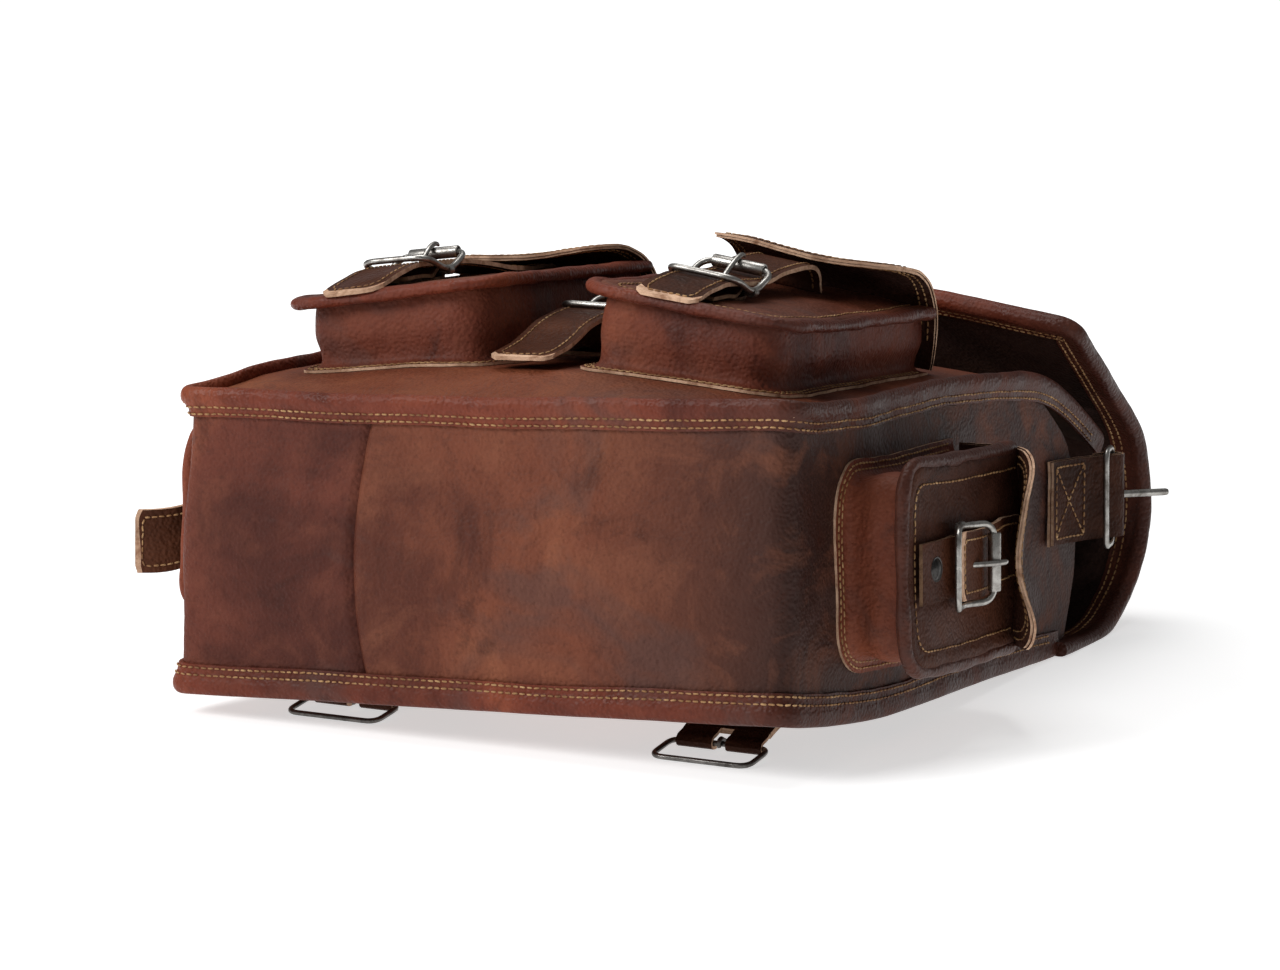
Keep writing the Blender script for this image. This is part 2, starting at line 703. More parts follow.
def thread_material():
    n = Nodes("golden_thread")
    colour = n.ramp(n.noise(70, 3, 0.6), (0.34, (0.17, 0.075, 0.028)), (0.5, (0.34, 0.175, 0.070)),
                    (0.68, (0.54, 0.33, 0.155)))
    colour = n.mix(n.level(n.noise(900, 2), 0.45, 0.7, 0, 0.5), colour, (0.16, 0.07, 0.02))
    twist = n.node("ShaderNodeTexWave", Vector=n.coords, Scale=900.0, Distortion=2.0).outputs["Fac"]
    return n.finish(colour, 0.6, n.bump(twist, 0.4, 0.0002), specular=0.35)


def nickel(name, light, deep, rough):
    """Plated steel gone grey, with bright rubbed places and small dark pits."""
    n = Nodes(name)
    grime = n.noise(140, 6, 0.7, 0.6)
    colour = n.ramp(grime, (0.33, deep), (0.55, light), (0.75, tuple(min(1, 1.25 * c) for c in light)))
    pits = n.noise(900, 3, 0.6)
    colour = n.mix(n.level(pits, 0.60, 0.74, 0, 0.7), colour, tuple(0.3 * c for c in deep))
    normal = n.bump(pits, 0.25, 0.0002)
    normal = n.bump(n.noise(90, 3), 0.2, 0.0006, normal)
    return n.finish(colour, n.level(grime, 0.3, 0.7, rough + 0.16, rough - 0.08), normal, metallic=1.0)


def canvas_material():
    """Plain-woven lining."""
    n = Nodes("lining_canvas")
    waves = []
    for direction in ("X", "Y", "Z"):
        waves.append(n.node("ShaderNodeTexWave", {"bands_direction": direction, "wave_profile": "SIN"},
                            Vector=n.coords, Scale=260.0, Distortion=0.4).outputs["Fac"])
    weave = n.maths("MAXIMUM", n.maths("MULTIPLY", waves[0], waves[1]),
                    n.maths("MULTIPLY", waves[1], waves[2]))
    colour = n.mix(weave, (0.19, 0.13, 0.08), (0.40, 0.31, 0.21))
    colour = n.mix(n.level(n.noise(14, 5), 0.5, 0.7, 0, 0.5), colour, (0.14, 0.09, 0.055))
    return n.finish(colour, 0.9, n.bump(weave, 0.5, 0.0006), specular=0.2)


def floor_material():
    n = Nodes("studio_paper")
    tone = n.ramp(n.noise(3, 3), (0.3, (0.76, 0.76, 0.76)), (0.7, (0.80, 0.80, 0.80)))
    n.shader.inputs["Emission Color"].default_value = (1, 1, 1, 1)
    away = n.node("ShaderNodeVectorMath", {"operation": "LENGTH"})
    n.put(away.inputs[0], n.coords)
    n.put(n.shader.inputs["Emission Strength"], n.level(away.outputs["Value"], 0.45, 1.6, 0.57, 0.95))
    return n.finish(tone, 0.8, n.bump(n.noise(400, 2), 0.05, 0.0003), specular=0.1)


# where along x a leather darkens, in metres, and to what
SHADE = (0.045, 0.138, (0.0165, 0.0098, 0.0088))
LIP_SHADE = (0.085, 0.150, (0.038, 0.0155, 0.011))
HIDE = leather("chestnut_leather", (0.085, 0.023, 0.013), (0.155, 0.045, 0.023), (0.220, 0.071, 0.035),
               shade=SHADE)
PANEL_HIDE = leather("panel_leather", (0.080, 0.020, 0.010), (0.150, 0.040, 0.018), (0.215, 0.066, 0.028))
HIDE_DARK = leather("maroon_leather", (0.060, 0.015, 0.0095), (0.116, 0.030, 0.018),
                    (0.170, 0.048, 0.026), 0.4)
INNER_HIDE = leather("inner_flap_leather", (0.016, 0.008, 0.006), (0.034, 0.016, 0.012),
                     (0.060, 0.028, 0.019), 0.3)
POCKET_HIDE = leather("pocket_leather", (0.064, 0.0155, 0.0095), (0.140, 0.0345, 0.0185),
                      (0.220, 0.062, 0.031), 0.35)
FRONT_FACE = leather("front_face_leather", (0.070, 0.020, 0.011), (0.145, 0.043, 0.022),
                     (0.220, 0.070, 0.036), 0.35, 0.44)
FACE_HIDE = leather("pocket_face_leather", (0.026, 0.0095, 0.006), (0.050, 0.018, 0.011),
                    (0.082, 0.030, 0.017), 0.3, 0.5, gloss=0.05)
FLAP_HIDE = leather("pocket_flap_leather", (0.026, 0.0105, 0.007), (0.052, 0.020, 0.0125),
                    (0.088, 0.035, 0.022), 0.3, 0.48, gloss=0.08)
LIP_HIDE = leather("binding_leather", (0.074, 0.0155, 0.0085), (0.142, 0.0295, 0.0145),
                   (0.208, 0.050, 0.023), 0.3, 0.44, 0.16, LIP_SHADE, 0.15)
STRAP_HIDE = leather("strap_leather", (0.026, 0.0088, 0.0045), (0.054, 0.0175, 0.0085),
                     (0.090, 0.031, 0.0155), 0.3, 0.48, gloss=0.06)
EDGE = raw_edge("raw_edge", (0.33, 0.17, 0.10), (0.70, 0.46, 0.31))
EDGE_DARK = raw_edge("stained_edge", (0.07, 0.032, 0.018), (0.26, 0.15, 0.085))
FLESH = flesh_side("flesh_side", (0.030, 0.015, 0.010), (0.070, 0.036, 0.022))
THREAD = thread_material()
STEEL = nickel("worn_nickel", (0.40, 0.385, 0.36), (0.16, 0.145, 0.13), 0.30)
DARK_STEEL = nickel("dark_nickel", (0.20, 0.19, 0.18), (0.07, 0.065, 0.06), 0.34)
BLACK_STEEL = nickel("black_stud", (0.055, 0.052, 0.05), (0.02, 0.018, 0.017), 0.30)
CANVAS = canvas_material()


def settled(obj, body, node=None):
    """Finishes a piece: it rides on a body, carries a material slot and may stand for a CAD node."""
    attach(obj, body)
    if node:
        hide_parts(node)
    return obj


def hardware(build, name, body, metal, sharp=38):
    """A piece of metal that stands for the CAD node of its name."""
    settled(build.piece(name, [metal], sharp), body, name)


# ---------- the body ----------

def seam(z):
    return SEAM_X - 7 * np.sin(math.pi * np.clip((z - SIDE_BOTTOM) / (SIDE_TOP - SIDE_BOTTOM), 0, 1))


def gusset(name, side, material):
    """One of the two leathers that go round the base and the sides; they meet at the cross seam."""
    z = SIDE_BOTTOM + (EDGE_Z - 1 - SIDE_BOTTOM) * np.linspace(0, 1, 31)
    q = np.linspace(0, 1, 190)[:, None]
    t = (z - SIDE_BOTTOM) / (SIDE_TOP - SIDE_BOTTOM)
    end = along(gusset_end(np.clip(t, 0, 1)), z)
    start = seam(z)
    a = start + (side * end - start) * q
    tuck = -2.2 * np.exp(-np.abs(a - start) / 0.9)
    build = Build()
    shell(build, around(a, z, tuck), LEATHER, flip=side < 0)
    settled(build.piece(name, [material, FLESH, EDGE]), "root", name)


def front_panel():
    e = np.linspace(-1, 1, 81)
    x = (np.sin(e * math.pi / 2) * 0.35 + e * 0.65) * (FRONT_X - 0.5)
    middle = 1 - (x / FRONT_X) ** 2
    mouth = 330 + 24 * (x / FRONT_X) ** 4 - 6 * middle
    y = BASE_Y + 0.5 + (mouth - BASE_Y) * np.linspace(0, 1, 180)[:, None]
    droop = 5 * step_up(y, 290, 340) * middle
    sag = -1.6 * np.exp(-((y - 215) / 30) ** 2) * np.cos(x / 60)
    build = Build()
    shell(build, soft(stacked(x, y, panel_z(x, y) - droop + sag)), LEATHER, flip=True)
    settled(build.piece("front_panel", [PANEL_HIDE, FLESH, EDGE]), "root", "front_panel")


def lining():
    """The bag of cloth inside: its walls, and a floor over the base."""
    q = np.linspace(0, 1, 121)
    y = np.concatenate([[BASE_Y + 4.5], np.linspace(BASE_Y + 6, 292, 60)])[:, None]
    inset = 4.4
    back, front, low = BACK_X - inset, FRONT_X - inset, SIDE_BOTTOM + 2.6
    line = rounded([(0, low, 0), (-back, low, 0), (-front, 121, 0), (0, 131, 0), (front, 121, 0),
                    (back, low, 0), (0, low, 0)], 9)
    line = np.vstack([line, line[:1]])
    s = lengths(line) / lengths(line)[-1]
    ring = np.stack([np.interp(q, s, line[:, k]) for k in (0, 1)], 1)
    ring = np.repeat(ring[None], len(y), 0)
    ripple = 0.8 * np.sin(y / 17 + 9 * q) * np.sin(q * 23) * (y > 20)
    shrink = np.where(y < BASE_Y + 6, 0.985, 1.0) - 0.02 * step_up(y, 240, 292)
    x = ring[:, :, 0] * shrink + ripple * np.sign(ring[:, :, 0]) * -0.5
    z = 66 + (ring[:, :, 1] - 66) * shrink
    grid = soft(np.stack([x, np.broadcast_to(y, x.shape), z], 2))
    build = Build()
    shell(build, grid, 0.9, (0, 0, 0))
    u, w = np.meshgrid(np.linspace(-1, 1, 40), np.linspace(0, 1, 20), indexing="ij")
    floor = soft(np.stack([u * (back - 3 - 5 * w), 0 * u + BASE_Y + 4.6, 6 + w * 112], 2))
    shell(build, floor, 0.9, (0, 0, 0))
    return settled(build.piece("lining", [CANVAS]), "root", "lining")


def back_panel():
    """It starts at the base with two round corners."""
    def start(u):
        over = np.clip((np.abs(u) - 129) / 14.0, 0, 1)
        return 8.6 + 14.0 * (1 - np.sqrt(1 - over ** 2))
    flap_sheet("back_panel", start, SPLIT[0], "root")


# the outside of the back panel, its turn and the main flap, from the base to the free edge
FLAP_PATH = [(-4, 0), (60, 0), (150, 0), (240, 0), (292, 0.4), (325, 1.6), (346, 4.5), (366, 12), (382, 24),
             (392, 41), (396, 60), (393, 79), (384.5, 96), (370, 109), (352, 121.5), (332, 135), (312, 148),
             (296, 157.5), (284, 165.5)]


def flap_wave(u, s):
    """The free end of the main flap arches up in the middle and waves a little."""
    late = step_up(s, FREE_EDGE - 190, FREE_EDGE)
    arch = 8.5 * (1 - (u / 150) ** 2) + 2.2 * np.sin(u / 38 + 0.6) - 1.2 * u / 144
    return -late * arch + 1.2 * np.sin(u / 45 + s / 60) * step_up(s, 330, 420)


MAIN_FLAP = Ribbon(FLAP_PATH, on_middle, flap_wave, 1.5)
FLAP_HALF = 147.0


def flap_station(y, z):
    """How far along the main flap the point nearest to (y, z) lies."""
    return MAIN_FLAP.s[np.argmin(np.linalg.norm(MAIN_FLAP.line - np.array([y, z]), axis=1))]


FREE_EDGE = MAIN_FLAP.length - 15.0
SPLIT = (flap_station(290, 0.3), flap_station(394, 48))


def flap_sheet(name, start, end, part):
    build = Build()
    MAIN_FLAP.sheet(build, FLAP_HALF - 1.0, start, end, 0.0, LEATHER, 75)
    obj = build.piece(name, [HIDE, FLESH if part == "root" else INNER_HIDE, EDGE])
    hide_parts(name)
    hinge_on(obj, part)


def hinge_on(obj, part):
    """The back panel is still; the two halves of the flap bend at its folds."""
    if part == "root":
        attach(obj, "root")
        return
    a, b, start, end = {
        "rise": ("root", "flap_rise", (353, 5), (394.6, 46)),
        "cover": ("flap_rise", "flap_cover", (394.6, 50), (382.4, 98.3)),
    }[part]
    start, end = (firm([[0.0, *p]])[0] for p in (start, end))
    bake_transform(obj)


# ---------- rolled bindings ----------

def roll_profile(r, tail, thin):
    """A rolled lip with a tail: pairs of (out, along the tail)."""
    lip = [(1.2 + 0.55 * r * math.cos(a), -0.4 + r * math.sin(a))
           for a in np.radians(np.linspace(30, -205, 17))]
    top = [(thin - 0.1, tail), (thin + 0.15, tail * 0.82), (thin + 0.35, tail * 0.6)]
    return top + lip + [(0.15, 3.0), (0.1, tail)]


def body_binding(name, low, rise):
    """Binding round the base and sides; low is the height of its edge and rise the way its tail runs."""
    reach = along(294.0, 3.0) if rise > 0 else along(352.0, 120.0)
    a = np.linspace(-reach, reach, 420)
    if rise < 0:
        low = front_edge(np.abs(a) - reach + 352.0) - 0.5
    lump = 0.28 * np.sin(a / 9.0 + 1.5 * np.sin(a / 23.0)) + 0.22 * np.sin(a / 4.1)
    rows = []
    for out, way in roll_profile(LIP_R, 8.6, 1.6):
        swell = lump * (0.35 if way > 4 else 1.0)
        rows.append(around(a, low + rise * (way + 0.15 * swell), out + 0.5 * swell))
    build = Build()
    build.loft(np.stack(rows, 1))
    settled(build.piece(name, [LIP_HIDE], 60), "root", name)
    for way, out in BINDING_ROWS:
        STITCHES["root"].sew(lambda w, z=low + rise * way: around(a, z, w), out, trim=6)


def flap_binding(part, start, end):
    """Binding along both edges of the back panel and flap; the last part also goes round the free edge."""
    build = Build()
    h = FLAP_HALF
    if end is None:
        runs = [rounded([(h, start), (h, FREE_EDGE), (-h, FREE_EDGE), (-h, start)], 8, n=10)]
    else:
        runs = [np.array([(h, start), (h, end)]), np.array([(-h, end), (-h, start)])]
    for line in runs:
        line = resample(line, 2.2)
        t = tangents(line)
        out = np.stack([t[:, 1], -t[:, 0]], 1)
        run = lengths(line)
        lump = 0.35 * np.sin(run / 8.0 + 1.5 * np.sin(run / 21.0))
        lap = step_up(line[:, 1], SPLIT[0], SPLIT[0] + 45)
        rows = []
        for o, lift in flap_roll(LIP_R):
            p = line + out * (o + lump * 0.4)[:, None]
            rows.append(MAIN_FLAP.at(p[:, 0], p[:, 1], lift + (1 - lap) * (LIP_R - 1.2 - LEATHER / 2)))
        build.loft(np.stack(rows, 1))
        for inset in FLAP_ROWS:
            u, s = (line - out * inset).T
            for lift, away in ((LEATHER + 1.65, 1.0), (-1.65, -1.0)):
                STITCHES[part].sew(lambda w, u=u, s=s: MAIN_FLAP.at(u, s, w), lift, away)
    obj = build.piece("flap_" + part + "_binding", [LIP_HIDE], 60)
    hinge_on(obj, part)


def flap_roll(r):
    """The binding folded round the flap's edge, with a tail on each face: pairs of (out, lift)."""
    mid = LEATHER / 2
    lip = [(1.0 + r * math.cos(a), mid + r * math.sin(a)) for a in np.radians(np.linspace(128, -128, 19))]
    return [(-11.5, LEATHER + 1.4), (-7, LEATHER + 1.5), (-4, LEATHER + 1.9)] + lip + \
        [(-4, -1.9), (-7, -1.5), (-11.5, -1.4), (-11.5, -0.05), (-3, -0.05), (-3, LEATHER + 0.05),
         (-11.5, LEATHER + 0.05)]


STITCHES = {key: Thread() for key in ("root", "rise", "cover")}


# ---------- pockets ----------

def band(name, place, spec):
    """The wall of a pocket, turned out at its foot into a flange that is sewn down."""
    line, out = outline(spec["half"] - 5, 5, spec["length"], 13)
    depth = spec["depth"]
    profile = spline([(8.0, 1.4), (5.0, 1.4), (2.4, 1.9), (0.6, 3.8), (0.6, 8), (2.0, depth * 0.5),
                      (1.0, depth - 6), (-0.4, depth - 1.0)], 1.1)
    run = lengths(line)
    wobble = 0.5 * np.sin(run / 13.0) + 0.3 * np.sin(run / 5.3 + 1)
    points = []
    for o, w in profile:
        mid = wobble * math.sin(math.pi * min(max(w / depth, 0), 1))
        p = line + out * (o + mid)[:, None]
        points.append(laid(stacked(p[:, 0], p[:, 1], w), place))
    build = Build()
    shell(build, np.stack(points, 1), 1.2, flip=True)
    settled(build.piece(name, [POCKET_HIDE, FLESH, EDGE]), "root", name)
    for o in FLANGE_ROWS:
        u, v = (line + out * o).T
        STITCHES["root"].sew(lambda w, u=u, v=v: laid(stacked(u, v, w), place), 1.5, trim=3)


def face(name, place, spec, hide):
    """A pocket's outer panel: a lip rolls over the wall all round, and the middle is slightly full."""
    half, length, depth, corner = spec["half"] + 0.6, spec["length"] - 4, spec["depth"], spec["corner"]
    e = np.linspace(-1, 1, 49)
    v = length * (1 - np.cos(np.linspace(0, math.pi / 2, 90)))[:, None]
    wide = half - corner * (1 - np.sqrt(1 - np.clip((corner - v) / corner, 0, 1) ** 2))
    u, v = np.broadcast_arrays(wide * (0.35 * e + 0.65 * np.sin(e * math.pi / 2)), v)
    in_corner = (np.abs(u) > half - corner) & (v < corner)
    diagonal = corner - np.hypot(np.maximum(np.abs(u) - (half - corner), 0), np.maximum(corner - v, 0))
    far = np.clip(np.where(in_corner, diagonal, np.minimum(wide - np.abs(u), v)), 0, None)
    roll = 2.0 * np.sqrt(np.clip(1 - (1 - np.minimum(far, 3.0) / 3.0) ** 2, 0, 1))
    roll += -1.0 * step_up(far, 4, 8.5) + 1.1 * step_up(far, 9.5, 26)
    build = Build()
    build.slab(laid(stacked(u, v, depth + 0.2 + roll), place),
               laid(stacked(u, v, depth - 1.2 + 1.2 * step_up(far, 3, 9)), place), (0, 1, 0))
    line, out = outline(half, 0, length, corner)
    run = lengths(line)
    r = 3.1 + 0.25 * np.sin(run / 9.0) + 0.2 * np.sin(run / 4.3 + 1)
    rings = []
    for a in np.linspace(0, 2 * math.pi, 16, endpoint=False):
        p = line + out * (0.6 + r * math.cos(a))[:, None]
        rings.append(laid(stacked(p[:, 0], p[:, 1], depth - 0.4 + r * 0.92 * math.sin(a)), place))
    build.loft(np.stack(rings, 1), 2)
    settled(build.piece(name, [hide, FLESH, LIP_HIDE], 60), "root", name)
    u, v = outline(half - FACE_ROW, FACE_ROW, length - 2, corner - 5)[0].T
    STITCHES["root"].sew(lambda w: laid(stacked(u, v, w), place), depth + 1.55)


def pocket_flap(name, place, path, half, wave, corner):
    """Two layers of leather sewn together near their cut edges."""
    ribbon = Ribbon(path, place, wave)
    end = round_end(ribbon.length, half, corner)
    under = round_end(ribbon.length - 0.7, half - 0.7, corner)
    build = Build()
    ribbon.sheet(build, half, 1.0, end, -1.05, -0.02, 41, taper=0.4)
    ribbon.sheet(build, half - 0.7, 1.0, under, 0.02, 1.05, 41, (1, 0, 2), taper=0.4)
    settled(build.piece(name, [FLAP_HIDE, FLAP_HIDE, EDGE]), name, name)
    thread = Thread()
    for inset in POCKET_FLAP_ROWS:
        for lift in (-1.15, 1.15):
            ribbon.stitch(thread, half, 16, end, inset, lift)
    settled(thread.piece(name + "_stitches", THREAD), name)


def strap(name, place, path, body, cut=3.5, pale=2.6):
    """A strap from its skived tip to where it is sewn under the flap, with stitches near each edge."""
    ribbon = Ribbon(path[::-1], place)
    end = cut_end(ribbon.length, STRAP_HALF, 11.0, cut)
    build = Build()

    def skived(u):
        return end(u) - pale * (1 - 0.25 * np.sin(u / 5.0))
    ribbon.sheet(build, STRAP_HALF, 0.0, skived, -0.95, 0.95, 19, (1, 0, 2), step=2.0)
    ribbon.sheet(build, STRAP_HALF, skived, end, -0.85, 0.85, 19, (2, 2, 2), step=1.0)
    settled(build.piece(name, [STRAP_HIDE, STRAP_HIDE, EDGE]), body, name)
    thread = Thread()
    for lift in (-1.05, 1.05):
        ribbon.stitch(thread, STRAP_HALF, 2, end, STRAP_ROW, lift, pitch=3.2)
    settled(thread.piece(name + "_stitches", THREAD), body)


def chape(name, place, bar, reach, drop, body):
    """The short strap that goes round a buckle's centre bar and is sewn to what lies under it."""
    v, w = bar
    loop = [(v - reach, w - drop + 0.4), (v - reach * 0.55, w - drop + 0.9), (v - 8, w - 1.0 - drop * 0.1),
            (v - 3.2, w + 1.6), (v, w + 2.6), (v + 2.3, w + 1.3), (v + 2.3, w - 1.3), (v - 0.2, w - 2.5),
            (v - 6, w - 2.9 - drop * 0.02)]
    ribbon = Ribbon(loop, place, None, 0.6, carried_at(place, bar))
    build = Build()
    half = STRAP_HALF - 1.6
    ribbon.sheet(build, half, 0, round_end(ribbon.length, half, 1.0), -0.8, 0.8, 15, step=1.2)
    settled(build.piece(name, [STRAP_HIDE, STRAP_HIDE, EDGE_DARK]), body, name)


def press_stud(sockets, prefix, place, v, depth):
    """The socket stays on the pocket's face; the cap is on the short strap."""
    stud(sockets, place, v, depth + 1.4, 0.8)
    cap = Build()
    stud(cap, place, v, depth + 5.1)
    settled(cap.piece(prefix + "_stud_cap", [BLACK_STEEL]), prefix + "_flap")


def stud(build, place, v, w, size=1.0):
    """The cap of a press stud: a shallow dome with a rim."""
    profile = [(5.6, 0.0), (5.7, 0.7), (5.2, 1.2), (4.6, 1.1), (4.1, 1.5), (2.6, 2.1), (0.9, 2.35),
               (0.05, 2.4)]
    a = np.linspace(0, 2 * math.pi, 28, endpoint=False)
    rings = [stacked(size * r * np.cos(a), v + size * r * np.sin(a), w + size * h) for r, h in profile]
    build.loft(laid(rings, place))


# ---------- buckles ----------

def carried_at(place, bar):
    """Metal that moves with the leather at the middle of its bar."""
    return carried(place(np.array([[0.0, *bar]])))


def wire(build, points, radius, place, settle, bend=5.0, closed=True):
    """Bent wire through points (u, v, w)."""
    line = rounded(points, bend, closed, n=7)
    if closed:
        line = resample(np.vstack([line, line[:1]]), 1.2)[:-1]
        rings = tube_rings(np.vstack([line[-1:], line, line[:1]]), radius, WIRE_SIDES)
        rings = untwisted(rings[1:-1], line)
    else:
        rings = tube_rings(resample(line, 1.2), radius, WIRE_SIDES)
    build.loft(laid(rings, place, settle), close_rows=closed)


def pin(name, body, metal, points, sizes, place, settle):
    """A rod through points (v, w); sizes are pairs of (part of the way, radius)."""
    line = spline(points, 0.8)
    radius = np.interp(np.linspace(0, 1, len(line)), *zip(*sizes))
    build = Build()
    build.loft(laid(tube_rings(stacked(0.0, line[:, 0], line[:, 1]), radius), place, settle))
    hardware(build, name, body, metal)


def eye(radius, start, end, count, v=0.0, w=0.0):
    """The curl of a prong round its bar at (v, w), between two angles in degrees."""
    return [(v + radius * math.cos(a), w + radius * math.sin(a))
            for a in np.radians(np.linspace(start, end, count))]


def untwisted(rings, line):
    """Spreads the small turn left over after going once round a closed wire."""
    first, last = rings[0] - line[0], rings[-1] - line[-1]
    n = len(first)
    shift = max(range(n), key=lambda k: float(np.sum(first * np.roll(last, k, axis=0))))
    shift = shift if shift <= n // 2 else shift - n
    out = []
    for i, (ring, centre) in enumerate(zip(rings, line)):
        turn = shift * i / (len(rings) - 1)
        whole = math.floor(turn)
        a, b = np.roll(ring, whole, axis=0), np.roll(ring, whole + 1, axis=0)
        mixed = a + (b - a) * (turn - whole) - centre
        radius = np.linalg.norm(ring - centre, axis=1, keepdims=True)
        out.append(centre + unit(mixed) * radius)
    return np.array(out)


def buckle(prefix, place, bar, body):
    """A roller buckle with a frame on each side of its centre bar, a roller and a prong."""
    v, w = bar
    h = FRAME_HALF
    settle = carried_at(place, bar)
    build = Build()
    wire(build, [(-h, v, w), (-h, v - NEAR_LOOP, w + NEAR_LIFT), (h, v - NEAR_LOOP, w + NEAR_LIFT), (h, v, w),
                 (h, v + FAR_LOOP, w + FAR_LIFT), (-h, v + FAR_LOOP, w + FAR_LIFT)],
         FRAME_WIRE, place, settle, 7.5)
    wire(build, [(-h, v, w), (h, v, w)], BAR_WIRE, place, settle, closed=False)
    for x in (-h, h):
        wire(build, [(x, v - 2.0, w + 0.6), (x, v + 2.0, w + 0.6)], BEAD, place, settle, closed=False)
    hardware(build, prefix + "_buckle_frame", body, STEEL)
    roller(prefix, place, (v + FAR_LOOP, w + FAR_LIFT), settle)
    buckle_prong(prefix, place, bar, settle)


def roller(prefix, place, bar, settle):
    """A rolled tube with an open slot along it, so that it turns on the frame."""
    a = np.radians(np.linspace(-78, 258, 28))
    section = [(ROLLER_R, q) for q in a] + [(ROLLER_BORE, q) for q in a[::-1]]
    rings = []
    for x, fill in ((-12.4, 0.82), (-12.0, 1.0), (12.0, 1.0), (12.4, 0.82)):
        sizes = [(ROLLER_BORE + (r - ROLLER_BORE) * fill, q) for r, q in section]
        rings.append([(x, bar[0] + r * math.cos(q), bar[1] + r * math.sin(q)) for r, q in sizes])
    build = Build()
    build.loft(laid(rings, place, settle))
    hardware(build, prefix + "_buckle_roller", prefix + "_roller", STEEL, 30)


def buckle_prong(prefix, place, bar, settle):
    """A prong curled round the centre bar, that rises to lie over the roller."""
    v, w = bar
    rod = [(v + 6.5, w + 6.2), (v + 12, w + 10.2), (v + 16.5, w + 12.4), (v + 20, w + 12.9),
           (v + 22.4, w + 12.0)]
    sizes = [(0, 0.9), (0.1, 1.15), (0.85, 1.2), (0.97, 0.95), (1, 0.5)]
    pin(prefix + "_buckle_prong", prefix + "_prong", STEEL, eye(2.0, -150, 62, 12, v, w) + rod, sizes, place,
        settle)


# ---------- shoulder strap tabs ----------

def tab_metal(prefix, place, settle, loop_angle, prong_angle, reach, metal, gauge, thick):
    """The tab's frame and its straight prong; the place's origin is the centre bar."""
    h = TAB_HALF + 2.75
    v, w = TAB_LOOP * math.cos(math.radians(loop_angle)), TAB_LOOP * math.sin(math.radians(loop_angle))
    build = Build()
    wire(build, [(-h, 0, 0), (h, 0, 0), (h, v, w), (-h, v, w)], gauge, place, settle, 6.0)
    hardware(build, prefix + "_tab_frame", prefix + "_tab_frame", metal)
    c, s = math.cos(math.radians(prong_angle)), math.sin(math.radians(prong_angle))
    rod = [(c * r, s * r) for r in (6.5, 12.0, 19.0, reach)]
    sizes = [(0, 0.9), (0.1, thick), (0.97, thick), (1, 0.8 * thick)]
    pin(prefix + "_tab_prong", prefix + "_tab_prong", metal,
        eye(2.1, prong_angle + 215, prong_angle + 50, 10) + rod, sizes, place, settle)


def tab_leather(name, place, settle, path, sewn):
    """A doubled strap round the frame's bar, sewn down with a box and a cross."""
    ribbon = Ribbon(path, place, None, 0.8, settle)
    thread, build = Thread(), Build()
    slot_half, half = 3.2, TAB_HALF
    fold = ribbon.length - 15
    ribbon.sheet(build, half, 0, fold, -1.4, -0.03, 21, step=2.0)
    ribbon.sheet(build, half - 0.4, 1.0, fold, 0.03, 1.4, 21, (1, 0, 2), step=2.0)
    for side in (-1, 1):
        leg = Ribbon(path, shifted(place, side * (half + slot_half) / 2), None, 0.8, settle)
        leg.sheet(build, (half - slot_half) / 2, fold - 0.5, leg.length, -1.4, -0.03, 9, step=1.0)
    settled(build.piece(name, [STRAP_HIDE, STRAP_HIDE, EDGE]), "root", name)
    inner, low = half - 3.2, 4.0
    square = [(-inner, low), (inner, low), (inner, sewn), (-inner, sewn), (-inner, low)]
    for a, b in list(zip(square, square[1:])) + [(square[0], square[2]), (square[1], square[3])]:
        q = np.linspace(0, 1, 30)
        ribbon.line_of_stitches(thread, a[0] + (b[0] - a[0]) * q, a[1] + (b[1] - a[1]) * q, 1.5)
    settled(thread.piece(name + "_stitches", THREAD), "root")


# ---------- everything together ----------

# the flaps of the right (1) and the left (-1) front pocket, from the seam to the free edge
FRONT_FLAP = {1: [(162, 1.4), (162.4, 10), (161, 21), (157, 33), (146, 43.5), (133, 48.6), (120, 50.6),
                  (110, 51)],
              -1: [(162, 1.4), (162.6, 9), (162, 18), (158.5, 28), (149, 36), (136, 40.2), (124, 41),
                   (117, 41)]}
SIDE_FLAP = [(128, 1.4), (129.5, 9), (129.5, 17), (127.5, 26), (121.5, 33), (112.5, 38.5), (102.5, 43.5),
             (92.5, 48.5)]


def front_wave(side):
    def wave(u, s):
        late = step_up(s, 35, 90)
        low = 7.0 * step_up(-u, 26, 49) * (side < 0) + 1.5 * step_up(-u, 20, 50) * (side > 0)
        return late * (1.2 * np.sin(u / 15 + 1.2) + low - 0.6)
    return wave


def side_wave(u, s):
    return step_up(s, 30, 80) * (4.2 * np.cos(u / 13.5 + 0.25) + 0.8 * np.sin(u / 6.5))


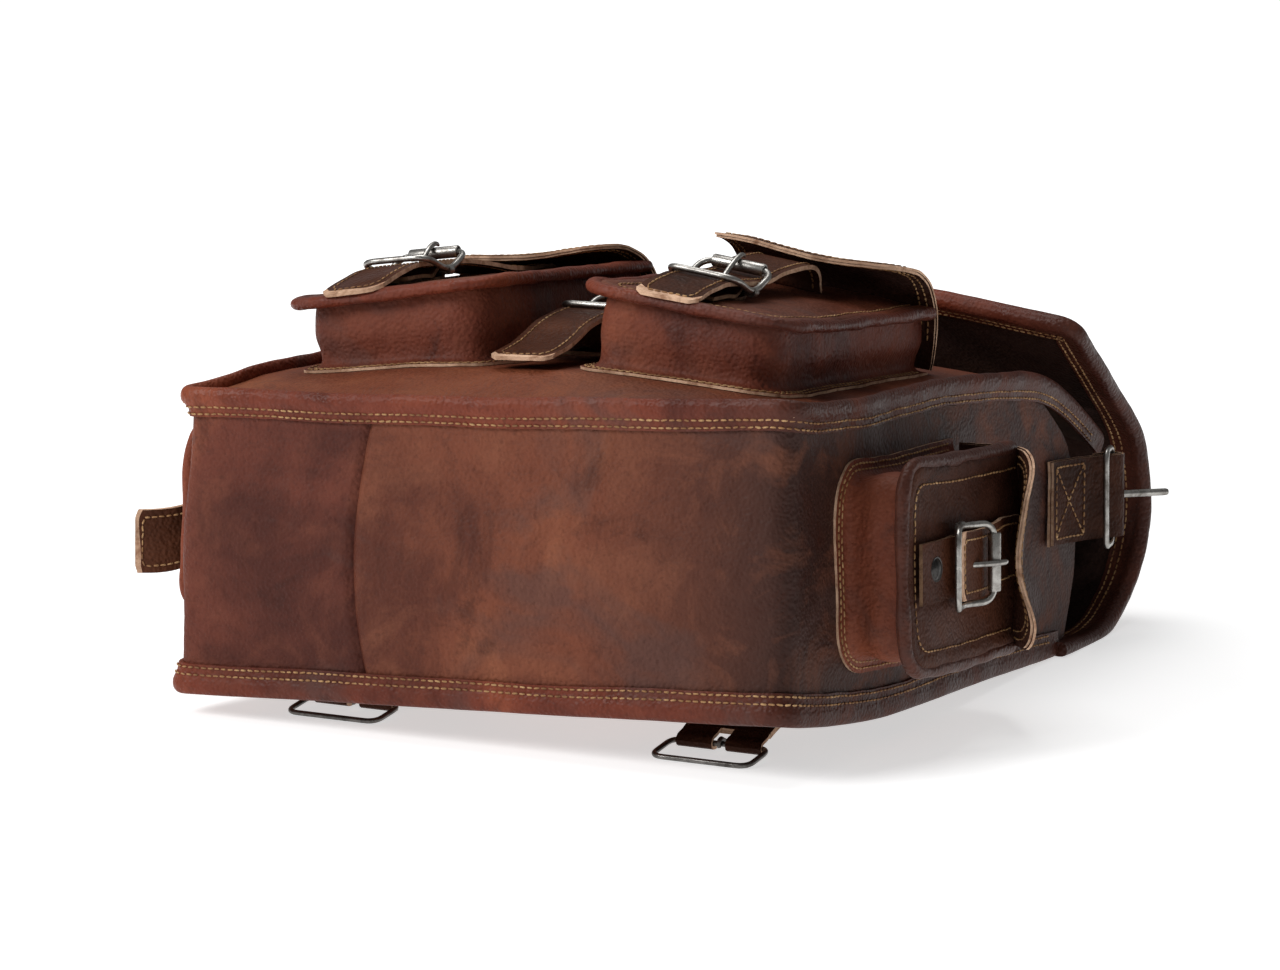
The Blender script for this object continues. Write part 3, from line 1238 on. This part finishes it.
def strap_paths():
    fw, sw, cw = FRONT_POCKET["depth"] + BAR_LIFT, SIDE_POCKET["depth"] + BAR_LIFT, CENTRE_BAR[1]
    tip = [(-5, fw - 3.4), (4, fw - 0.6), (14, fw + 1.8), (26, fw + 4.0), (46, fw + 4.0)]
    front = {1: tip + [(65, fw + 3.9), (78, fw + 6.4), (94, fw + 8.4), (107, fw + 9.0), (115, fw + 7.2),
                       (119.5, fw + 3.4), (121, fw - 0.6), (123, fw - 2.4)],
             -1: tip + [(65, fw + 3.5), (80, fw + 2.0), (96, fw), (115, fw - 1.9), (135, fw - 2.2),
                        (150, fw - 2.2)]}
    rest = [(44, sw + 4.1), (64, sw + 3.6), (82, sw + 1), (96, sw - 1.6), (108, sw - 3), (117, sw - 3)]
    right = [(35, sw + 4.4)] + rest
    left = [(2, sw + 24), (6, sw + 16), (14, sw + 8.5), (26, sw + 4.8)] + rest
    middle = [(30, cw - 11.8), (48, cw - 8), (70, cw), (92, cw + 4.5), (112, cw + 4.7), (131, cw + 4.5),
              (180, cw + 6), (220, cw + 4.6), (250, cw + 2), (291, cw - 5), (318, cw - 23.2)]
    return front, right, left, middle


def shifted(place, across):
    return lambda p: place(p + np.array([across, 0.0, 0.0]))


def pocket(name, place, spec, hide, flap, half, wave, corner):
    """The leather that makes the pocket itself."""
    band(name + "_band", place, spec)
    face(name + "_face", place, spec, hide)
    pocket_flap(name + "_flap", place, flap, half, wave, corner)


def fastening(sockets, name, place, spec, reach, back):
    """The short strap, buckle and press stud of a pocket, which ride on its flap."""
    bar = (spec["bar"], spec["depth"] + BAR_LIFT)
    chape(name + "_chape", place, bar, reach, 1.8, name + "_flap")
    buckle(name, place, bar, name + "_flap")
    press_stud(sockets, name, place, bar[0] - back, spec["depth"])


def front_pockets(sockets):
    for hand, side, pale in (("right", 1, 4.0), ("left", -1, 2.6)):
        name = "front_" + hand
        place = on_front(side)
        pocket(name, place, FRONT_POCKET, FRONT_FACE, FRONT_FLAP[side], 49, front_wave(side), 18)
        place = shifted(place, OFF_CENTRE[side])
        strap(name + "_strap", place, strap_paths()[0][side], name + "_flap", pale=pale)
        fastening(sockets, name, place, FRONT_POCKET, 30, 22)


def drooping(place):
    """The loose tip of the left strap hangs towards the floor."""
    return lambda p: place(p - stacked(15 * (1 - step_up(p[:, 1], 2, 60)), 0.0, 0.0))


def side_pockets(sockets):
    paths = strap_paths()
    for hand, side, path, cut, pale in (("right", 1, paths[1], 2.0, 4.0), ("left", -1, paths[2], 1.2, 2.2)):
        name = "side_" + hand
        place = on_side(side)
        pocket(name, place, SIDE_POCKET, FACE_HIDE, SIDE_FLAP, 43.5, side_wave, 22)
        strap(name + "_strap", drooping(place) if side < 0 else place, path, name + "_flap", cut, pale)
        fastening(sockets, name, place, SIDE_POCKET, 38, 24)


def centre_fastening(sockets):
    strap("centre_strap", on_middle, strap_paths()[3], "flap_cover")
    chape("centre_chape", on_middle, CENTRE_BAR, 32, 13.4, "flap_cover")
    buckle("centre", on_middle, CENTRE_BAR, "flap_cover")
    stud(sockets, on_middle, CENTRE_BAR[0] - 25, EDGE_Z + CROWN + 1.5)


def side_tab(hand, side):
    bar_v, bar_w = SIDE_TAB_BAR
    sit = on_side(side, 0, SIDE_TAB_Z)

    def place(p):
        return sit(p + np.array([0, bar_v, bar_w]))
    path = [(280 - bar_v, 2.9 - bar_w), (-46, 3.1 - bar_w), (-36, 4.4 - bar_w), (-20, -5.0), (-9, 0.8),
            (-1, 4.2), (3.8, 3.6), (4.9, 0.4), (3.2, -3.0), (-2, -5.0), (-8, -7.0)]
    tab_leather("side_" + hand + "_tab", place, soft, path, 32)
    tab_metal("side_" + hand, place, carried_at(sit, SIDE_TAB_BAR), SIDE_LOOP, SIDE_PRONG, 30.0, STEEL,
              1.5, 1.75)


def lower_tab(hand, side):
    place = on_floor(side)
    drop = RISE - LOWER_TAB_Y * math.sin(TILT) - 4
    path = [(38, drop - 38 * math.tan(TILT) - 2.8), (20, drop - 20 * math.tan(TILT) - 3.2), (9, 4.6),
            (3.5, 2.5), (0, 1.75), (-1.7, 0.5), (-1.4, -1.0), (0.5, -1.55), (2.5, -1.5)]
    tab_leather("lower_" + hand + "_tab", place, level, path, 30)
    tab_metal("lower_" + hand, place, level, 180 + math.degrees(math.asin((4 - 1.25) / TAB_LOOP)), -4, 26.0,
              DARK_STEEL, 1.2, 1.15)


def tabs():
    for hand, side in (("right", 1), ("left", -1)):
        side_tab(hand, side)
        lower_tab(hand, side)


def main_flap():
    flap_sheet("flap_rise", SPLIT[0], SPLIT[1], "rise")
    flap_sheet("flap_cover", SPLIT[1], FREE_EDGE, "cover")
    flap_binding("rise", SPLIT[0], SPLIT[1])
    flap_binding("cover", SPLIT[1], None)


def studio():
    floor = bpy.data.meshes.new("floor")
    s = 6.0
    floor.from_pydata([(-s, -s, 0), (s, -s, 0), (s, s, 0), (-s, s, 0)], [], [(0, 1, 2, 3)])
    floor.materials.append(floor_material())
    obj = bpy.data.objects.new("floor", floor)
    bpy.context.scene.collection.objects.link(obj)
    world = bpy.data.worlds.new("white room")
    bpy.context.scene.world = world
    world.use_nodes = True
    backdrop = world.node_tree.nodes["Background"]
    backdrop.inputs["Color"].default_value = (1.0, 1.0, 1.0, 1)
    backdrop.inputs["Strength"].default_value = 0.20
    lamp("key", (-1.0, -1.45, 1.3), 0.9, 29)
    lamp("top", (-0.3, 0.3, 1.9), 1.2, 18)


def lamp(name, at, size, power):
    data = bpy.data.lights.new(name, "AREA")
    data.size, data.energy = size, power
    obj = bpy.data.objects.new(name, data)
    obj.location = at
    aim(obj, (0, -0.02, 0.08))
    bpy.context.scene.collection.objects.link(obj)


def aim(obj, target):
    obj.rotation_euler = (Vector(target) - Vector(obj.location)).to_track_quat("-Z", "Y").to_euler()


def camera():
    data = bpy.data.cameras.new("camera")
    data.lens, data.sensor_width = 116.5, 36.0
    obj = bpy.data.objects.new("camera", data)
    bpy.context.scene.collection.objects.link(obj)
    bpy.context.scene.camera = obj
    azimuth, elevation, far = math.radians(27), math.radians(9.96), 1.850
    target = (0.0091, -0.0686, 0.096)
    obj.location = (target[0] + far * math.sin(azimuth) * math.cos(elevation),
                    target[1] - far * math.cos(azimuth) * math.cos(elevation),
                    target[2] + far * math.sin(elevation))
    aim(obj, target)
    bpy.context.scene.view_settings.view_transform = "Standard"


camera()
gusset("gusset_right", 1, HIDE)
gusset("gusset_left", -1, HIDE_DARK)
front_panel()
back_panel()
lining()
body_binding("back_piping", SIDE_BOTTOM + 1.4, 1)
body_binding("front_piping", SIDE_TOP + 5.6, -1)
main_flap()
studs = Build()
front_pockets(studs)
side_pockets(studs)
centre_fastening(studs)
settled(studs.piece("snap_studs", [BLACK_STEEL]), "root", "snap_studs")
tabs()
settled(STITCHES["root"].piece("body_stitches", THREAD), "root")
for key in ("rise", "cover"):
    hinge_on(STITCHES[key].piece("flap_" + key + "_stitches", THREAD), key)
studio()
